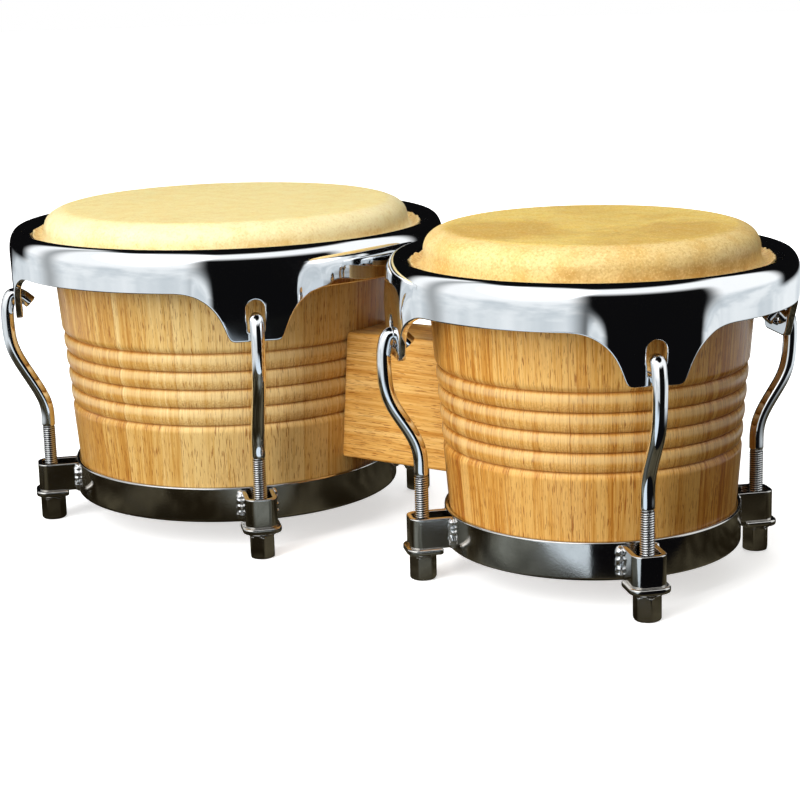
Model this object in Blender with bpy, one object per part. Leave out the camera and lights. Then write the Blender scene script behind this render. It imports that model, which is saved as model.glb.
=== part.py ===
"""Bongo drums: two tunable hand drums on a centre block.

Metres, +Z up. The drums stand on their eight tuning nuts at Z = 0 and their
axes lie on the X axis, the hembra (large) at -X and the macho (small) at +X.
"""
import math

import bmesh
import bpy
from mathutils import Matrix, Vector

MM = 0.001

# ---- layout -------------------------------------------------------------
CENTRE_DISTANCE = 246.0   # between the two drum axes
X_SHIFT = 9.85            # centres the pair on the origin
LUG_ANGLES = (45.0, 135.0, 225.0, 315.0)
SEG = 32                  # facets around a turned piece

# ---- heights shared by both drums ----------------------------------------
NUT_H = 13.0
WASHER_Z = (13.3, 14.8)
FLANGE_Z = (15.1, 18.6)
STRAP_TOP = 35.0
RING_Z = (16.0, 36.5)
SHELL_Z = (19.2, 184.8)
GROOVE_Z0 = 72.0
GROOVE_STEP = 10.5
GROOVES = 5
SKIN_TOP = 187.2
SHELL_TAPER = 0.078
SHELL_WALL = 13.0

# ---- hardware -------------------------------------------------------------
ROD_R = 3.9
ROD_BOTTOM = 1.0
BORE_R = 4.45
NUT_R = 7.5               # across corners / 2
WASHER_R = 8.2
STRAP_IN = 6.3            # half width inside the strap
STRAP_T = 2.8
STRAP_REACH = 7.8         # rod axis to the strap's outer face
EAR_DROP = 27.3           # rim edge down to the ear's end
SLOT_TOP = -4.2           # slot top, from the rim edge
SLOT_BOTTOM = -22.3
SLOT_NECK = -17.5
SLOT_WIDE = 5.2
SLOT_NARROW = 4.55
EAR_SIDE = ((13.0, -27.3), (15.2, -23.5), (18.4, -15.6), (21.8, -9.9),
            (27.5, -4.8), (35.5, 0.0))

# ---- centre block and its fasteners ----------------------------------------
BLOCK_HALF_Y = 20.0
BLOCK_Z = (45.5, 119.5)
BLOCK_GAP = 0.4
BOLT_Z = (63.0, 101.0)
BOLT_R = 3.8
BOLT_HEAD_R = 6.8
BOLT_HEAD_H = 5.0
INSERT_R = 6.0
INSERT_L = 18.0
INSERT_BORE_L = 20.0

DRUMS = {
    "hembra": {"x": -CENTRE_DISTANCE / 2 + X_SHIFT, "skin": 108.5, "base": 93.6,
               "ring": 97.5, "rod": 113.0, "rim": 129.0, "edge": 153.0, "dir": 1},
    "macho": {"x": CENTRE_DISTANCE / 2 + X_SHIFT, "skin": 89.0, "base": 76.3,
              "ring": 80.2, "rod": 94.5, "rim": 109.3, "edge": 149.5, "dir": -1},
}

COLOURS = {
    "maple": (0.62, 0.36, 0.15, 0.42, 0.0),
    "block_wood": (0.56, 0.27, 0.09, 0.5, 0.0),
    "rawhide": (0.83, 0.66, 0.36, 0.7, 0.0),
    "chrome": (0.72, 0.73, 0.75, 0.12, 1.0),
    "dark_chrome": (0.34, 0.33, 0.33, 0.18, 1.0),
    "steel": (0.50, 0.50, 0.52, 0.35, 1.0),
    "brass": (0.62, 0.44, 0.16, 0.3, 1.0),
}


def clear():
    for obj in list(bpy.data.objects):
        bpy.data.objects.remove(obj, do_unlink=True)


def material(name, kind):
    red, green, blue, rough, metal = COLOURS[kind]
    mat = bpy.data.materials.new(name)
    mat.use_nodes = True
    shader = mat.node_tree.nodes["Principled BSDF"]
    shader.inputs["Base Color"].default_value = (red, green, blue, 1.0)
    shader.inputs["Roughness"].default_value = rough
    shader.inputs["Metallic"].default_value = metal
    mat.diffuse_color = (red, green, blue, 1.0)
    return mat


def add_node(name, mesh, kind, origin=(0.0, 0.0, 0.0), smooth=True):
    """One named object; mesh coordinates are in mm about the origin (mm)."""
    mesh.transform(Matrix.Scale(MM, 4))
    obj = bpy.data.objects.new(name, mesh)
    bpy.context.scene.collection.objects.link(obj)
    obj.location = Vector(origin) * MM
    mesh.materials.clear()
    mesh.materials.append(material(name + "_mat", kind))
    if smooth:
        shade(mesh)
    return obj


def shade(mesh, angle=32.0):
    """Smooth round faces and keep the real edges sharp."""
    bm = bmesh.new()
    bm.from_mesh(mesh)
    limit = math.radians(angle)
    for face in bm.faces:
        face.smooth = True
    for edge in bm.edges:
        if len(edge.link_faces) == 2 and edge.calc_face_angle(0.0) > limit:
            edge.smooth = False
    bm.to_mesh(mesh)
    bm.free()


def mesh_from(verts, faces, name="m"):
    mesh = bpy.data.meshes.new(name)
    mesh.from_pydata(verts, [], faces)
    bm = bmesh.new()
    bm.from_mesh(mesh)
    bmesh.ops.recalc_face_normals(bm, faces=bm.faces)
    if bm.calc_volume(signed=True) < 0:
        bmesh.ops.reverse_faces(bm, faces=bm.faces)
    bm.to_mesh(mesh)
    bm.free()
    return mesh


def ring_stack(loops, closed_tube):
    """Join equal loops of points; ends are capped unless the stack closes."""
    count = len(loops[0])
    verts = [p for loop in loops for p in loop]
    faces = []
    last = len(loops) if closed_tube else len(loops) - 1
    for i in range(last):
        a = i * count
        b = ((i + 1) % len(loops)) * count
        for k in range(count):
            n = (k + 1) % count
            faces.append((a + k, a + n, b + n, b + k))
    if not closed_tube:
        faces.append(tuple(range(count)))
        faces.append(tuple(range((len(loops) - 1) * count, len(loops) * count)))
    return mesh_from(verts, faces)


def turn(profile, seg=SEG):
    """Closed ring turned about Z from a closed (radius, z) outline."""
    loops = []
    for k in range(seg):
        a = 2 * math.pi * k / seg
        loops.append([(r * math.cos(a), r * math.sin(a), z) for r, z in profile])
    return ring_stack(loops, True)


def turn_cap(profile, seg=SEG):
    """Turned body whose open outline starts and ends on the axis."""
    inner = profile[1:-1]
    verts = [(r * math.cos(2 * math.pi * k / seg), r * math.sin(2 * math.pi * k / seg), z)
             for k in range(seg) for r, z in inner]
    n = len(inner)
    top = len(verts)
    verts.append((0.0, 0.0, profile[0][1]))
    verts.append((0.0, 0.0, profile[-1][1]))
    faces = []
    for k in range(seg):
        a = k * n
        b = ((k + 1) % seg) * n
        for i in range(n - 1):
            faces.append((a + i, b + i, b + i + 1, a + i + 1))
        faces.append((top, b, a))
        faces.append((top + 1, a + n - 1, b + n - 1))
    return mesh_from(verts, faces)


def prism(outline, z0, z1):
    return ring_stack([[(x, y, z0) for x, y in outline], [(x, y, z1) for x, y in outline]], False)


def circle(radius, seg, phase=0.0):
    return [(radius * math.cos(phase + 2 * math.pi * k / seg),
             radius * math.sin(phase + 2 * math.pi * k / seg)) for k in range(seg)]


def turn_x(profile, seg=12):
    """Closed ring turned about X from a closed (x, radius) outline."""
    loops = []
    for k in range(seg):
        a = 2 * math.pi * k / seg
        loops.append([(x, r * math.cos(a), r * math.sin(a)) for x, r in profile])
    return ring_stack(loops, True)


def turn_x_solid(profile, seg=12):
    """Solid turned about X: stacked discs at (x, radius)."""
    loops = []
    for x, r in profile:
        loops.append([(x, r * math.cos(2 * math.pi * k / seg), r * math.sin(2 * math.pi * k / seg))
                      for k in range(seg)])
    return ring_stack(loops, False)


def joined(meshes):
    """Several closed bodies in one mesh, for use as one cutter."""
    verts = []
    faces = []
    for mesh in meshes:
        base = len(verts)
        verts += [tuple(v.co) for v in mesh.vertices]
        faces += [tuple(base + i for i in p.vertices) for p in mesh.polygons]
    out = bpy.data.meshes.new("joined")
    out.from_pydata(verts, [], faces)
    return out


def combined(base, other, operation):
    """Exact Boolean of two mm meshes; returns the resulting mesh."""
    target = bpy.data.objects.new("target", base)
    cutter = bpy.data.objects.new("cutter", other)
    for obj in (target, cutter):
        bpy.context.scene.collection.objects.link(obj)
    cutter.hide_render = True
    cutter.display_type = "WIRE"
    mod = target.modifiers.new("cut", "BOOLEAN")
    mod.operation = operation
    mod.solver = "EXACT"
    mod.object = cutter
    bpy.context.view_layer.update()
    graph = bpy.context.evaluated_depsgraph_get()
    result = bpy.data.meshes.new_from_object(target.evaluated_get(graph))
    for obj in (target, cutter):
        bpy.data.objects.remove(obj, do_unlink=True)
    bm = bmesh.new()
    bm.from_mesh(result)
    bmesh.ops.remove_doubles(bm, verts=bm.verts, dist=0.0005)
    bmesh.ops.dissolve_degenerate(bm, edges=bm.edges, dist=0.0005)
    bm.to_mesh(result)
    bm.free()
    return result


def turned_by(mesh, degrees, shift=(0.0, 0.0, 0.0)):
    copy = mesh.copy()
    copy.transform(Matrix.Translation(Vector(shift)) @ Matrix.Rotation(math.radians(degrees), 4, "Z"))
    return copy


# ---- turned pieces ----------------------------------------------------------

def shell_radius(drum, z):
    return min(drum["base"] + SHELL_TAPER * (z - SHELL_Z[0]), drum["skin"] - 2.4)


def shell_inner(drum, z):
    return drum["base"] - SHELL_WALL + SHELL_TAPER * (z - SHELL_Z[0])


def shell_mesh(drum):
    z0, z1 = SHELL_Z
    outer = [(shell_radius(drum, z0), z0)]
    for i in range(GROOVES):
        mid = GROOVE_Z0 + i * GROOVE_STEP
        outer += [(shell_radius(drum, mid - 2.6), mid - 2.6),
                  (shell_radius(drum, mid) - 1.9, mid - 0.4),
                  (shell_radius(drum, mid + 2.6), mid + 2.6)]
    outer += [(shell_radius(drum, 156.0), 156.0), (shell_radius(drum, 177.0), 177.0)]
    top = shell_radius(drum, z1)
    outer += [(top - 1.5, z1 - 3.6), (top - 5.0, z1 - 0.8), (top - 8.5, z1)]
    inner = [(top - 11.5, z1 - 2.0), (shell_inner(drum, 160.0), 160.0), (shell_inner(drum, z0), z0)]
    body = turn(outer + inner)
    cutters = []
    for z in BOLT_Z:
        seat = shell_inner(drum, z) + 0.9
        shape = turn_x_solid(((seat - 12.0, 10.2), (seat, 10.2), (seat + 0.001, 4.3), (seat + 30.0, 4.3)))
        shape.transform(Matrix.Translation((0.0, 0.0, z)))
        cutters.append(shape)
    cutter = joined(cutters)
    if drum["dir"] < 0:
        cutter.transform(Matrix.Rotation(math.pi, 4, "Z"))
    return combined(body, cutter, "DIFFERENCE")


def bottom_ring_mesh(drum):
    z0, z1 = RING_Z
    out = drum["ring"]
    lip = drum["base"] - 8.0
    return turn([(out - 0.8, z0), (out, z0 + 1.0), (out, z1 - 0.7), (out - 0.7, z1),
                 (shell_radius(drum, z1) + 0.4, z1), (shell_radius(drum, 18.9) + 0.4, 18.9),
                 (lip, 18.9), (lip, z0)])


def skin_mesh(drum):
    """Head: flat face, rounded shoulder, fray over the rim, wrap on the hoop."""
    r = drum["skin"]
    d = drum["edge"] - 153.0
    outline = [(0.0, SKIN_TOP), (r - 13.0, 187.0), (r - 7.5, 186.1), (r - 2.9, 183.4),
               (r - 0.5, 179.4), (r, 173.5 + d), (r + 1.6, 170.9 + d), (r + 8.6, 173.2 + d),
               (r + 9.2, 172.0 + d), (r + 5.4, 168.3 + d), (r + 3.5, 166.0 + d),
               (r + 3.9, 163.4 + d), (r + 6.4, 162.0 + d), (r + 7.6, 159.4 + d),
               (r + 7.0, 155.2 + d), (r + 5.9, 155.2 + d), (r + 6.0, 159.6 + d),
               (r + 4.9, 161.5 + d), (r + 2.9, 162.2 + d), (r + 1.0, 161.4 + d),
               (r + 0.2, 159.4 + d), (r + 0.1, 155.0 + d), (r - 2.0, 155.0 + d),
               (r - 2.0, 178.0), (r - 3.4, 182.2), (r - 8.5, 184.9), (r - 13.5, 185.4),
               (0.0, 185.4)]
    return turn_cap(outline)


def hoop_mesh(drum):
    r = drum["skin"] + 3.1
    z = drum["edge"] + 6.2
    section = [(r + 2.4 * math.cos(a), z + 2.4 * math.sin(a))
               for a in [math.pi / 4 * k for k in range(8)]]
    return turn(section)


def ear_edge(offset):
    """Lower edge height, from the rim edge, at an arc distance from the ear."""
    s = abs(offset)
    if s <= EAR_SIDE[0][0]:
        return EAR_SIDE[0][1]
    for (s0, z0), (s1, z1) in zip(EAR_SIDE, EAR_SIDE[1:]):
        if s <= s1:
            return z0 + (z1 - z0) * (s - s0) / (s1 - s0)
    return 0.0


def rim_columns(radius):
    """Angles around the rim with the arc distance to the nearest ear."""
    steps = [0.0] + [s for s, _ in EAR_SIDE]
    out = []
    half = math.degrees(EAR_SIDE[-1][0] / radius)
    for centre in LUG_ANGLES:
        for s in [-v for v in steps[:0:-1]] + steps:
            out.append((centre + math.degrees(s / radius), s))
        gap = (90.0 - 2 * half) / 6
        for i in range(1, 6):
            out.append((centre + half + gap * i, 999.0))
    return out


def rim_mesh(drum):
    big = drum["rim"]
    skin = drum["skin"]
    z = drum["edge"]
    loops = []
    for degrees, s in rim_columns(big - 1.6):
        low = z + ear_edge(s)
        section = [(big - 1.6, low), (big - 0.2, z + 5.5), (big, z + 11.5), (big - 0.9, z + 17.5),
                   (big - 2.9, z + 21.8), (big - 5.4, z + 23.4), (big - 8.0, z + 22.7),
                   (skin + 6.9, z + 14.2), (skin + 4.7, z + 12.3), (skin + 5.2, z + 11.1),
                   (big - 6.6, z + 19.0), (big - 3.9, z + 14.5), (big - 5.4, low)]
        a = math.radians(degrees)
        loops.append([(r * math.cos(a), r * math.sin(a), h) for r, h in section])
    body = ring_stack(loops, True)
    return combined(body, slot_cutter(drum), "DIFFERENCE")


def slot_cutter(drum):
    z = drum["edge"]
    w = SLOT_WIDE
    n = SLOT_NARROW
    arch = [math.radians(a) for a in (18.0, 42.0, 66.0, 90.0)]
    half = [(w * math.sin(a), SLOT_TOP - w + w * math.cos(a)) for a in arch]
    half += [(w, SLOT_NECK + 2.5), (n, SLOT_NECK), (n, SLOT_BOTTOM + 1.2), (n - 1.2, SLOT_BOTTOM)]
    outline = half + [(-y, h) for y, h in reversed(half)]
    x0 = drum["rim"] - 14.0
    x1 = drum["rim"] + 6.0
    shape = ring_stack([[(x0, y, z + h) for y, h in outline],
                        [(x1, y, z + h) for y, h in outline]], False)
    return joined([turned_by(shape, a) for a in LUG_ANGLES])


# ---- tuning hardware ---------------------------------------------------------

def rod_path(drum):
    """Centreline (offset outward from the rod axis, z)."""
    ear = drum["rim"] - 1.6 - drum["rod"]
    out = ear + 5.1
    z = drum["edge"] - 153.0
    return [(0.0, ROD_BOTTOM), (0.0, 40.0), (0.0, 64.0), (0.035 * out, 70.0), (0.16 * out, 77.0),
            (0.5 * out, 89.5 + z * 0.5), (0.80 * out, 100.5 + z), (0.94 * out, 108.0 + z),
            (out, 117.0 + z), (out, 129.0 + z), (out - 0.9, 133.6 + z), (ear + 2.4, 137.4 + z),
            (ear - 0.6, 138.1 + z), (ear - 4.2, 136.7 + z), (ear - 8.4, 133.1 + z)]


def rod_mesh(drum):
    path = rod_path(drum)
    loops = []
    for i, (u, z) in enumerate(path):
        before = path[max(i - 1, 0)]
        after = path[min(i + 1, len(path) - 1)]
        du = after[0] - before[0]
        dz = after[1] - before[1]
        size = math.hypot(du, dz)
        nu, nz = dz / size, -du / size
        loop = []
        for k in range(8):
            a = math.pi / 4 * (k + 0.5)
            loop.append((u + ROD_R * math.cos(a) * nu, ROD_R * math.sin(a),
                         z + ROD_R * math.cos(a) * nz))
        loops.append(loop)
    return ring_stack(loops, False)


def bracket_mesh(drum):
    """Strap around the rod with its ends on the ring, and the flange below."""
    out = STRAP_REACH
    w = STRAP_IN + STRAP_T

    def wall(y):
        return math.sqrt((drum["ring"] + 0.3) ** 2 - y * y) - drum["rod"]

    inner = [(wall(STRAP_IN), -STRAP_IN), (out - STRAP_T - 2.5, -STRAP_IN),
             (out - STRAP_T, -STRAP_IN + 2.5)]
    outer = [(wall(w), -w), (out - 4.5, -w), (out - 1.2, -w + 1.4), (out, -w + 4.6)]
    strap = outer + [(x, -y) for x, y in reversed(outer)] + [(x, -y) for x, y in inner]
    strap += list(reversed(inner))
    body = prism(strap, FLANGE_Z[1] - 0.4, STRAP_TOP)
    c = 2.0
    plate = [(-9.5, -11.0 + c), (-9.5 + c, -11.0), (9.8 - c, -11.0), (9.8, -11.0 + c),
             (9.8, 11.0 - c), (9.8 - c, 11.0), (-9.5 + c, 11.0), (-9.5, 11.0 - c)]
    body = combined(body, prism(plate, FLANGE_Z[0], FLANGE_Z[1]), "UNION")
    return combined(body, prism(circle(BORE_R, 12), FLANGE_Z[0] - 2.0, FLANGE_Z[1] + 2.0), "DIFFERENCE")


def nut_mesh():
    loops = []
    flats = [NUT_R if k % 2 == 0 else NUT_R * math.cos(math.pi / 6) for k in range(12)]
    rows = ((0.0, 0.93), (0.9, 1.0), (NUT_H - 0.6, 1.0), (NUT_H, 0.95))
    for k in range(12):
        a = math.pi / 6 * k
        column = [(flats[k] * f * math.cos(a), flats[k] * f * math.sin(a), z) for z, f in rows]
        column.append((BORE_R * math.cos(a), BORE_R * math.sin(a), NUT_H))
        column.append((BORE_R * math.cos(a), BORE_R * math.sin(a), 0.0))
        loops.append(column)
    return ring_stack(loops, True)


def washer_mesh():
    return turn([(WASHER_R, WASHER_Z[0]), (WASHER_R, WASHER_Z[1]), (BORE_R, WASHER_Z[1]),
                 (BORE_R, WASHER_Z[0])], 12)


# ---- centre block and fasteners ------------------------------------------------

def block_mesh(left, right):
    loops = []
    ys = [BLOCK_HALF_Y * (k / 4.0 - 1.0) for k in range(9)]
    for z in BLOCK_Z:
        a = [(left["x"] + math.sqrt((shell_radius(left, z) + BLOCK_GAP) ** 2 - y * y), y, z)
             for y in ys]
        b = [(right["x"] - math.sqrt((shell_radius(right, z) + BLOCK_GAP) ** 2 - y * y), y, z)
             for y in reversed(ys)]
        loops.append(a + b)
    body = ring_stack(loops, False)
    cutters = []
    for drum in (left, right):
        for z in BOLT_Z:
            start = shell_radius(drum, z)
            shape = turn_x_solid(((start - 3.0, INSERT_R + 0.3), (start + INSERT_BORE_L, INSERT_R + 0.3)))
            shape.transform(Matrix.Translation((0.0, 0.0, z)))
            if drum["dir"] < 0:
                shape.transform(Matrix.Rotation(math.pi, 4, "Z"))
            shape.transform(Matrix.Translation((drum["x"], 0.0, 0.0)))
            cutters.append(shape)
    return combined(body, joined(cutters), "DIFFERENCE")


def bolt_mesh(drum, z):
    seat = shell_inner(drum, z) + 0.9
    under = seat - 2.0
    end = shell_radius(drum, z) + 17.0
    return turn_x_solid(((under - BOLT_HEAD_H, BOLT_HEAD_R - 0.8), (under - BOLT_HEAD_H + 0.8, BOLT_HEAD_R),
                         (under, BOLT_HEAD_R), (under + 0.001, BOLT_R), (end, BOLT_R)), 12)


def bolt_washer_mesh(drum, z):
    seat = shell_inner(drum, z) + 0.9
    return turn_x([(seat - 1.8, 9.0), (seat - 0.2, 9.0), (seat - 0.2, 4.2), (seat - 1.8, 4.2)])


def insert_mesh(drum, z):
    start = shell_radius(drum, z) + BLOCK_GAP + 0.6
    return turn_x([(start, INSERT_R), (start + INSERT_L, INSERT_R), (start + INSERT_L, 4.2),
                   (start, 4.2)])


# ---- assembly ------------------------------------------------------------------

def build_drum(name, drum):
    centre = (drum["x"], 0.0, 0.0)
    add_node(name + "_shell", shell_mesh(drum), "maple", centre)
    add_node(name + "_bottom_ring", bottom_ring_mesh(drum), "dark_chrome", centre)
    add_node(name + "_skin", skin_mesh(drum), "rawhide", centre)
    add_node(name + "_flesh_hoop", hoop_mesh(drum), "steel", centre)
    add_node(name + "_rim", rim_mesh(drum), "chrome", centre)
    bracket = bracket_mesh(drum)
    rod = rod_mesh(drum)
    for i, angle in enumerate(LUG_ANGLES, 1):
        a = math.radians(angle)
        axis = (drum["x"] + drum["rod"] * math.cos(a), drum["rod"] * math.sin(a), 0.0)
        add_node(f"{name}_lug_bracket_{i}", turned_by(bracket, angle), "dark_chrome", axis)
        add_node(f"{name}_tuning_rod_{i}", turned_by(rod, angle), "chrome", axis)
        add_node(f"{name}_washer_{i}", washer_mesh(), "dark_chrome", axis)
        add_node(f"{name}_tuning_nut_{i}", turned_by(nut_mesh(), angle), "dark_chrome", axis)


def build_fasteners(name, drum):
    turn_half = 0.0 if drum["dir"] > 0 else 180.0
    for level, z in zip(("lower", "upper"), BOLT_Z):
        at = (drum["x"], 0.0, z)
        add_node(f"{name}_block_bolt_{level}", turned_by(bolt_mesh(drum, z), turn_half), "steel", at)
        add_node(f"{name}_bolt_washer_{level}", turned_by(bolt_washer_mesh(drum, z), turn_half),
                 "steel", at)
        add_node(f"{name}_block_insert_{level}", turned_by(insert_mesh(drum, z), turn_half), "brass", at)


def main():
    clear()
    for name, drum in DRUMS.items():
        build_drum(name, drum)
        build_fasteners(name, drum)
    add_node("centre_block", block_mesh(DRUMS["hembra"], DRUMS["macho"]), "block_wood")


main()
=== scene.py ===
import math

import bmesh
import bpy
import numpy as np
from mathutils import Matrix, Vector, noise


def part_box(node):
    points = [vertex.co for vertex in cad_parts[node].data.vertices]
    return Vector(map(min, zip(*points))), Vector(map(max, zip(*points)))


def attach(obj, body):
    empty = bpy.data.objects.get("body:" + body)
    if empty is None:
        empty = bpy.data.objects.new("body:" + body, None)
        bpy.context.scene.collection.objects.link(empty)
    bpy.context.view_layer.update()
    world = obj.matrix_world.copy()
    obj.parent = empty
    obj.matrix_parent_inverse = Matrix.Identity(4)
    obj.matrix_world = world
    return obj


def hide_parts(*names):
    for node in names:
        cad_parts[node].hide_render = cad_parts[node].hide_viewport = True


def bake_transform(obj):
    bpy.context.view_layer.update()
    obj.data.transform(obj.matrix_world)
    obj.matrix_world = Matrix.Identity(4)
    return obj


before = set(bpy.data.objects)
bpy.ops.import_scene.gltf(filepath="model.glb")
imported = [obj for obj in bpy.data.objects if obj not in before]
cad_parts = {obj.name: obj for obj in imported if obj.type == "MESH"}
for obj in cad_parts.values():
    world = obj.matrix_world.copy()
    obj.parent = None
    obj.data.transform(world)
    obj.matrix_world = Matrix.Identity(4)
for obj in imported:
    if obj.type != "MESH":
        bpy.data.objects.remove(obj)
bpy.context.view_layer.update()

MM = 0.001
TAU = 2 * math.pi

# ---- sizes that the CAD states, in mm, with radii from each drum's own axis
LUG_ANGLES = (45.0, 135.0, 225.0, 315.0)
NUT_H = 13.0
WASHER_Z = (13.3, 14.8)
FLANGE_Z = (15.1, 18.6)
STRAP_Z = (18.2, 35.0)
RING_Z = (16.0, 36.5)
SHELL_Z = (19.2, 184.8)
GROOVE_Z0 = 72.0
GROOVE_STEP = 10.5
GROOVES = 5
SKIN_TOP = 187.2
SKIN_UNDER = 185.4
SHELL_TAPER = 0.078
SHELL_WALL = 13.0
BEARING_INSET = 2.4
LEDGE_Z = 18.9
ROD_R = 3.9
BORE_R = 4.45
NUT_R = 7.5
STRAP_HALF = 7.7
STRAP_T = 2.8
STRAP_REACH = 6.4
BLOCK_HALF_Y = 20.0
BLOCK_Z = (45.5, 119.5)
BLOCK_MIDDLE = (BLOCK_Z[0] + BLOCK_Z[1]) / 2
BOLT_Z = (63.0, 101.0)
BOLT_R = 3.8
BOLT_REACH = 17.0
BOLT_HEAD_R = 6.8
BOLT_HEAD_H = 5.0
BOLT_WASHER_R = 9.0
BOLT_BORE_R = 4.3
SEAT_DEPTH = 0.9
SEAT_R = 10.2
INSERT_BORE_R = 6.3
THREAD_TOP = 57.0
THREAD_PITCH = 1.25
THREAD_R = 3.84
THREAD_DEPTH = 0.56
RIM_WALL = 3.9
HOOP_R = 2.4
WELD_R = 2.4
WASHER_R = 8.2

# outer radii, the height of the rim's lower edge, the turn that faces the block, and a seed
DRUMS = {
    "hembra": {"skin": 108.5, "base": 93.6, "ring": 97.5, "rod": 113.0, "rim": 129.0,
               "edge": 153.0, "turn": 0.0, "seed": 3.0},
    "macho": {"skin": 89.0, "base": 76.3, "ring": 80.2, "rod": 94.5, "rim": 109.3,
              "edge": 149.5, "turn": 180.0, "seed": 11.0},
}
for drum_name, drum in DRUMS.items():
    low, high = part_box(drum_name + "_bottom_ring")
    drum["x"] = (low.x + high.x) / 2 / MM
    drum["drop"] = drum["edge"] - DRUMS["hembra"]["edge"]


# ---- outlines and curves

def spline(points, count):
    """Smooth curve (continuous curvature) through points, sampled evenly."""
    p = np.array(points, float)
    n = len(p)
    t = np.concatenate([[0.0], np.cumsum(np.linalg.norm(np.diff(p, axis=0), axis=1) ** 0.7)])
    h = np.diff(t)
    a = np.zeros((n, n))
    b = np.zeros((n, p.shape[1]))
    a[0, 0] = a[-1, -1] = 1.0
    for i in range(1, n - 1):
        a[i, i - 1], a[i, i], a[i, i + 1] = h[i - 1], 2 * (h[i - 1] + h[i]), h[i]
        b[i] = 6 * ((p[i + 1] - p[i]) / h[i] - (p[i] - p[i - 1]) / h[i - 1])
    m = np.linalg.solve(a, b)

    def at(x):
        k = np.clip(np.searchsorted(t, x, "right") - 1, 0, n - 2)
        u, v = (t[k + 1] - x)[:, None], (x - t[k])[:, None]
        hk = h[k][:, None]
        return (m[k] * u ** 3 + m[k + 1] * v ** 3) / (6 * hk) + (p[k] / hk - m[k] * hk / 6) * u \
            + (p[k + 1] / hk - m[k + 1] * hk / 6) * v

    return resample(at(np.linspace(0, t[-1], 40 * n)), count)


def resample(points, count):
    """Points evenly along an open line of points."""
    s = np.concatenate([[0.0], np.cumsum(np.linalg.norm(np.diff(points, axis=0), axis=1))])
    where = np.linspace(0, s[-1], count)
    return np.stack([np.interp(where, s, points[:, c]) for c in range(2)], axis=1)


def rectangle(x0, y0, x1, y1):
    return [(x0, y0), (x1, y0), (x1, y1), (x0, y1)]


def rounded(points, radius, steps=5, closed=True):
    """Rounds the corners of an outline; radius is one number or one per corner."""
    pts = [np.array(p, float) for p in points]
    n = len(pts)
    radii = np.broadcast_to(radius, n)
    out = []
    for i, p in enumerate(pts):
        if radii[i] <= 0 or (not closed and i in (0, n - 1)):
            out.append(p)
            continue
        u, v = pts[i - 1] - p, pts[(i + 1) % n] - p
        lu, lv = np.linalg.norm(u), np.linalg.norm(v)
        u, v = u / lu, v / lv
        half = 0.5 * math.acos(max(-1.0, min(1.0, float(u @ v))))
        if half > math.pi / 2 - 0.01:
            out.append(p)
            continue
        t = min(radii[i] / math.tan(half), 0.47 * lu, 0.47 * lv)
        r = t * math.tan(half)
        c = p + (u + v) / np.linalg.norm(u + v) * r / math.sin(half)
        start, end = p + u * t - c, p + v * t - c
        a0 = math.atan2(start[1], start[0])
        turn = (math.atan2(end[1], end[0]) - a0 + math.pi) % TAU - math.pi
        for k in range(steps + 1):
            a = a0 + turn * k / steps
            out.append(c + r * np.array([math.cos(a), math.sin(a)]))
    return np.array(out)


def supported(outline, gap=0.3, longest=6.0, closed=True):
    """Adds points beside the corners and along straight runs, so that flats shade flat."""
    out = []
    n = len(outline)
    for i in range(n if closed else n - 1):
        a, b = outline[i], outline[(i + 1) % n]
        size = np.linalg.norm(b - a)
        out.append(a)
        if size > 3 * gap:
            stops = [gap / size]
            count = int(size / longest)
            stops += [k / (count + 1) for k in range(1, count + 1)]
            stops.append(1 - gap / size)
            out += [a + (b - a) * s for s in stops]
    if not closed:
        out.append(outline[-1])
    return np.array(out)


# ---- meshes

def grid(points, wrap_rows, wrap_cols, cap=False):
    """Quads over an array of points [rows, cols, 3]; returns (verts, faces)."""
    rows, cols = points.shape[:2]
    index = np.arange(rows * cols).reshape(rows, cols)
    a = index if wrap_rows else index[:-1]
    b = np.roll(index, -1, 0) if wrap_rows else index[1:]
    if wrap_cols:
        a2, b2 = np.roll(a, -1, 1), np.roll(b, -1, 1)
    else:
        a, a2, b, b2 = a[:, :-1], a[:, 1:], b[:, :-1], b[:, 1:]
    faces = np.stack([a, a2, b2, b], axis=-1).reshape(-1, 4).tolist()
    if cap:
        faces.append(index[0].tolist())
        faces.append(index[-1].tolist())
    return points.reshape(-1, 3), faces


def lofted(rows):
    """Closed body with flat ends from rows of points, each row a loop round it."""
    return grid(np.array(rows), False, True, cap=True)


def around(count):
    """Angles of count points evenly round a circle."""
    return np.arange(count) * TAU / count


def turned(profile, angles):
    """A loop of points about Z for each (radius, z); a radius may vary with the angle."""
    return np.array([np.stack([r * np.cos(angles), r * np.sin(angles), np.full(len(angles), z)], axis=1)
                     for r, z in profile])


def lathe(outline, seg):
    """Closed ring turned about Z from a closed (radius, z) outline."""
    return grid(turned(outline, around(seg)).transpose(1, 0, 2), True, True)


def moved(body, degrees=0.0, shift=(0.0, 0.0, 0.0), matrix=None):
    """A body turned about Z, after an optional matrix, and then shifted."""
    verts, faces = body
    v = np.array(verts, float)
    if matrix is not None:
        v = v @ np.array(matrix, float)[:3, :3].T
    a = math.radians(degrees)
    turn = np.array([[math.cos(a), -math.sin(a), 0], [math.sin(a), math.cos(a), 0], [0, 0, 1]])
    return v @ turn.T + np.array(shift, float), faces


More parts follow.
